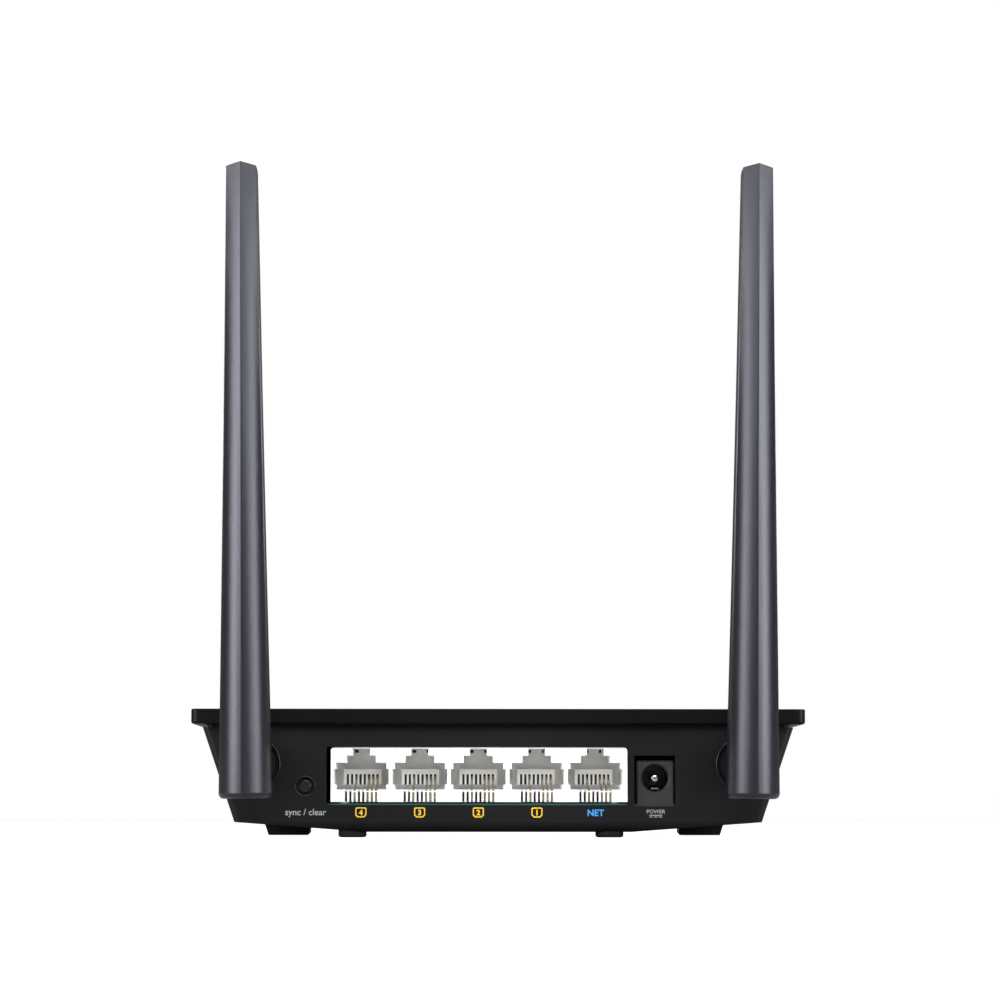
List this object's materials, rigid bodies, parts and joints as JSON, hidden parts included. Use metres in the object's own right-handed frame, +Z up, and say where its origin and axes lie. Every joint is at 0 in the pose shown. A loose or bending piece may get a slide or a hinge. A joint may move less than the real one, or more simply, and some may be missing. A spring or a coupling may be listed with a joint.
{
  "type": "wireless router",
  "caption": "Low black desktop wireless router with a flat overhanging cover, rear network sockets, a power inlet, a reset button and hinged antennas.",
  "frame": {"origin": "on the floor, at the bottom centre of the whole router's box, antennas included", "axes": "+X right for someone facing the sockets, +Y from the sockets to the status lights, +Z up"},
  "size_m": [0.1464, 0.1339, 0.1579],
  "materials": {
    "antenna_plastic": "satin dark grey, fine grain",
    "brass": "bare brass",
    "button_plastic": "black moulding",
    "can_metal": "drawn can",
    "case_plastic": "fine-textured black moulding",
    "chip_epoxy": "black epoxy",
    "circuit_board": "green solder resist",
    "clear_plastic": "frosted clear moulding",
    "contact_gold": "gold-flashed bronze",
    "cover_plastic": "satin black moulding",
    "ferrite": "dark grey ferrite",
    "jack_plastic": "black nylon",
    "knuckle_plastic": "black moulding",
    "label_film": "blank silver-grey film",
    "lead_jacket": "dark grey jacket",
    "led_resin": "clear resin on white",
    "plated_metal": "nickel plate",
    "port_plastic": "white nylon",
    "rubber": "black rubber",
    "steel": "zinc plate",
    "switch_plastic": "black moulding",
    "tray_plastic": "light grey nylon"
  },
  "bodies": {
    "case": {"board_screws": "steel", "bottom_case": "case_plastic", "capacitors": "can_metal", "case_screws": "steel", "clock_crystal": "can_metal", "dc_centre_pin": "plated_metal", "dc_jack_body": "jack_plastic", "dc_spring_contact": "plated_metal", "flash_chip": "chip_epoxy", "lan_1_contact_tray": "tray_plastic", "lan_1_contacts": "contact_gold", "lan_2_contact_tray": "tray_plastic", "lan_2_contacts": "contact_gold", "lan_3_contact_tray": "tray_plastic", "lan_3_contacts": "contact_gold", "lan_4_contact_tray": "tray_plastic", "lan_4_contacts": "contact_gold", "lan_transformer": "chip_epoxy", "left_board_lead": "lead_jacket", "left_lead_socket": "brass", "light_guide": "clear_plastic", "main_board": "circuit_board", "main_chip": "chip_epoxy", "memory_chip": "chip_epoxy", "port_housing": "port_plastic", "power_inductor": "ferrite", "radio_shield": "can_metal", "rating_label": "label_film", "reset_switch": "switch_plastic", "right_board_lead": "lead_jacket", "right_lead_socket": "brass", "rubber_feet": "rubber", "status_lights": "led_resin", "top_cover": "cover_plastic", "wan_contact_tray": "tray_plastic", "wan_contacts": "contact_gold", "wan_transformer": "chip_epoxy"},
    "left_swivel": {"left_knuckle": "knuckle_plastic", "left_spring_washer": "steel", "left_retaining_clip": "steel"},
    "left_antenna": {"left_antenna_sleeve": "antenna_plastic", "left_hinge_pins": "steel", "left_radiator": "brass", "left_antenna_lead": "lead_jacket", "left_lead_bush": "rubber"},
    "right_swivel": {"right_knuckle": "knuckle_plastic", "right_spring_washer": "steel", "right_retaining_clip": "steel"},
    "right_antenna": {"right_antenna_sleeve": "antenna_plastic", "right_hinge_pins": "steel", "right_radiator": "brass", "right_antenna_lead": "lead_jacket", "right_lead_bush": "rubber"},
    "button": {"reset_button": "button_plastic", "reset_switch_plunger": "button_plastic"}
  },
  "joints": [
    {"name": "left_swivel", "type": "hinge", "parent": "case", "child": "left_swivel", "pos_m": [-0.05874, -0.06004, 0.0174], "axis": [0, 1, 0], "range_deg": [-90, 20]},
    {"name": "left_fold", "type": "hinge", "parent": "left_swivel", "child": "left_antenna", "pos_m": [-0.05874, -0.06004, 0.0174], "axis": [0.9999, 0, 0.0157], "range_deg": [0, 90]},
    {"name": "right_swivel", "type": "hinge", "parent": "case", "child": "right_swivel", "pos_m": [0.05874, -0.06004, 0.0174], "axis": [0, 1, 0], "range_deg": [-20, 90]},
    {"name": "right_fold", "type": "hinge", "parent": "right_swivel", "child": "right_antenna", "pos_m": [0.05874, -0.06004, 0.0174], "axis": [0.9999, 0, -0.0157], "range_deg": [0, 90]},
    {"name": "reset_press", "type": "slide", "parent": "case", "child": "button", "axis": [0, 1, 0], "range_m": [0, 0.0005], "stiffness_N_per_m": 2000}
  ]
}
